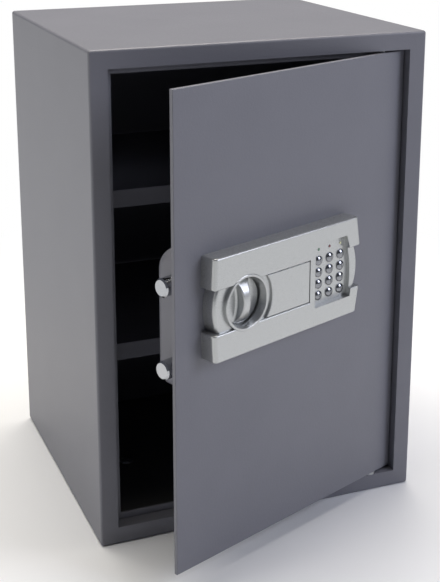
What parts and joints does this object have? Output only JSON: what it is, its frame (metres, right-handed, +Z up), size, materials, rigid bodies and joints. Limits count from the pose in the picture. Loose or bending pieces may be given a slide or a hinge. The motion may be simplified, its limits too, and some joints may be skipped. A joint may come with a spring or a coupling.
{
  "type": "electronic furniture safe",
  "caption": "Steel furniture safe with a hinged door, a keypad and knob lock that throws steel bolts, an emergency key lock, and lift-out shelves.",
  "frame": {"origin": "centre of the underside of the cabinet, with the front frame at -Y and the back panel at +Y", "axes": "+Z up, -Y towards the user, +X to the right, where the hinges are"},
  "size_m": [0.35, 0.4177, 0.5],
  "materials": {
    "grey_enamel": "satin powder coat",
    "silver_abs": "silver metallic moulding",
    "chrome": "polished",
    "zinc_steel": "zinc plated",
    "felt": "needled felt",
    "bush_nylon": "natural nylon",
    "brass": "turned",
    "black_abs": "fine texture",
    "copper_coil": "enamelled wire",
    "circuit_board": "solder mask",
    "pad_rubber": "moulded silicone",
    "lead_pvc": "sheathed",
    "cell_sleeve": "shrink sleeve",
    "red_button": "moulded",
    "green_lens": "diffused lens",
    "red_lens": "diffused lens",
    "yellow_lens": "diffused lens"
  },
  "bodies": {
    "cabinet": {"body_shell": "grey_enamel", "back_panel": "grey_enamel", "floor_mat": "felt", "hinge_plates": "zinc_steel", "hinge_washer": "zinc_steel", "shelf_rails_upper": "grey_enamel", "shelf_rails_lower": "grey_enamel"},
    "upper_shelf": {"shelf_upper": "grey_enamel"},
    "lower_shelf": {"shelf_lower": "grey_enamel"},
    "door": {"door_plate": "grey_enamel", "hinge_lugs": "grey_enamel", "hinge_pins": "zinc_steel", "fascia": "silver_abs", "fascia_screws": "zinc_steel", "spindle_bush": "bush_nylon", "guide_plate": "zinc_steel", "guide_pins": "zinc_steel", "solenoid_frame": "zinc_steel", "solenoid_coil": "copper_coil", "key_cylinder": "brass", "key_cylinder_nut": "zinc_steel", "keypad_board": "circuit_board", "keypad_pad": "pad_rubber", "lock_case": "grey_enamel", "lock_case_screws": "zinc_steel", "battery_box": "black_abs", "batteries": "cell_sleeve", "control_board": "circuit_board", "keypad_lead": "lead_pvc", "reset_switch": "black_abs", "lamp_green": "green_lens", "lamp_red": "red_lens", "lamp_yellow": "yellow_lens"},
    "knob_group": {"knob": "silver_abs", "spindle": "zinc_steel", "spindle_cam": "zinc_steel"},
    "bolt_group": {"bolt_carriage": "zinc_steel", "bolt_upper": "chrome", "bolt_lower": "chrome", "bolt_screws": "zinc_steel"},
    "solenoid_plunger": {"plunger": "zinc_steel", "plunger_spring": "zinc_steel"},
    "key_rotor": {"key_plug": "brass", "key_cam": "zinc_steel"},
    "cover_panel": {"override_cover": "silver_abs"},
    "battery_lid": {"battery_cover": "black_abs"},
    "reset_group": {"reset_button": "red_button"},
    "keytop_1": {"key_1": "chrome"},
    "keytop_2": {"key_2": "chrome"},
    "keytop_3": {"key_3": "chrome"},
    "keytop_4": {"key_4": "chrome"},
    "keytop_5": {"key_5": "chrome"},
    "keytop_6": {"key_6": "chrome"},
    "keytop_7": {"key_7": "chrome"},
    "keytop_8": {"key_8": "chrome"},
    "keytop_9": {"key_9": "chrome"},
    "keytop_star": {"key_star": "chrome"},
    "keytop_0": {"key_0": "chrome"},
    "keytop_hash": {"key_hash": "chrome"}
  },
  "joints": [
    {"name": "door_hinge", "type": "hinge", "parent": "cabinet", "child": "door", "pos_m": [0.1295, -0.147, 0.25], "axis": [0, 0, 1], "range_deg": [-21.5, 78.5]},
    {"name": "knob_turn", "type": "hinge", "parent": "door", "child": "knob_group", "pos_m": [-0.06482, -0.23214, 0.277], "axis": [0.3665, -0.9304, 0], "range_deg": [0, 70]},
    {"name": "bolt_slide", "type": "slide", "parent": "door", "child": "bolt_group", "axis": [-0.9304, -0.3665, 0], "range_m": [0, 0.01376]},
    {"name": "plunger_lift", "type": "slide", "parent": "door", "child": "solenoid_plunger", "axis": [0, 0, 1], "range_m": [0, 0.005], "deforming": ["plunger_spring"]},
    {"name": "key_turn", "type": "hinge", "parent": "door", "child": "key_rotor", "pos_m": [-0.01271, -0.21162, 0.277], "axis": [-0.3665, 0.9304, 0], "range_deg": [0, 90]},
    {"name": "override_cover_lift", "type": "slide", "parent": "door", "child": "cover_panel", "axis": [0.3665, -0.9304, 0], "range_m": [0, 0.01]},
    {"name": "battery_cover_lift", "type": "slide", "parent": "door", "child": "battery_lid", "axis": [-0.3665, 0.9304, 0], "range_m": [0, 0.005]},
    {"name": "reset_press", "type": "slide", "parent": "door", "child": "reset_group", "axis": [0.3665, -0.9304, 0], "range_m": [0, 0.0015], "stiffness_N_per_m": 300},
    {"name": "upper_shelf_lift", "type": "slide", "parent": "cabinet", "child": "upper_shelf", "axis": [0, 0, 1], "range_m": [0, 0.04]},
    {"name": "lower_shelf_lift", "type": "slide", "parent": "cabinet", "child": "lower_shelf", "axis": [0, 0, 1], "range_m": [0, 0.04]},
    {"name": "press_1", "type": "slide", "parent": "door", "child": "keytop_1", "axis": [-0.3665, 0.9304, 0], "range_m": [0, 0.001], "stiffness_N_per_m": 400},
    {"name": "press_2", "type": "slide", "parent": "door", "child": "keytop_2", "axis": [-0.3665, 0.9304, 0], "range_m": [0, 0.001], "stiffness_N_per_m": 400},
    {"name": "press_3", "type": "slide", "parent": "door", "child": "keytop_3", "axis": [-0.3665, 0.9304, 0], "range_m": [0, 0.001], "stiffness_N_per_m": 400},
    {"name": "press_4", "type": "slide", "parent": "door", "child": "keytop_4", "axis": [-0.3665, 0.9304, 0], "range_m": [0, 0.001], "stiffness_N_per_m": 400},
    {"name": "press_5", "type": "slide", "parent": "door", "child": "keytop_5", "axis": [-0.3665, 0.9304, 0], "range_m": [0, 0.001], "stiffness_N_per_m": 400},
    {"name": "press_6", "type": "slide", "parent": "door", "child": "keytop_6", "axis": [-0.3665, 0.9304, 0], "range_m": [0, 0.001], "stiffness_N_per_m": 400},
    {"name": "press_7", "type": "slide", "parent": "door", "child": "keytop_7", "axis": [-0.3665, 0.9304, 0], "range_m": [0, 0.001], "stiffness_N_per_m": 400},
    {"name": "press_8", "type": "slide", "parent": "door", "child": "keytop_8", "axis": [-0.3665, 0.9304, 0], "range_m": [0, 0.001], "stiffness_N_per_m": 400},
    {"name": "press_9", "type": "slide", "parent": "door", "child": "keytop_9", "axis": [-0.3665, 0.9304, 0], "range_m": [0, 0.001], "stiffness_N_per_m": 400},
    {"name": "press_star", "type": "slide", "parent": "door", "child": "keytop_star", "axis": [-0.3665, 0.9304, 0], "range_m": [0, 0.001], "stiffness_N_per_m": 400},
    {"name": "press_0", "type": "slide", "parent": "door", "child": "keytop_0", "axis": [-0.3665, 0.9304, 0], "range_m": [0, 0.001], "stiffness_N_per_m": 400},
    {"name": "press_hash", "type": "slide", "parent": "door", "child": "keytop_hash", "axis": [-0.3665, 0.9304, 0], "range_m": [0, 0.001], "stiffness_N_per_m": 400}
  ],
  "couplings": [
    {"joint": "knob_turn", "follows": "bolt_slide", "rad_per_m": 88.75}
  ]
}
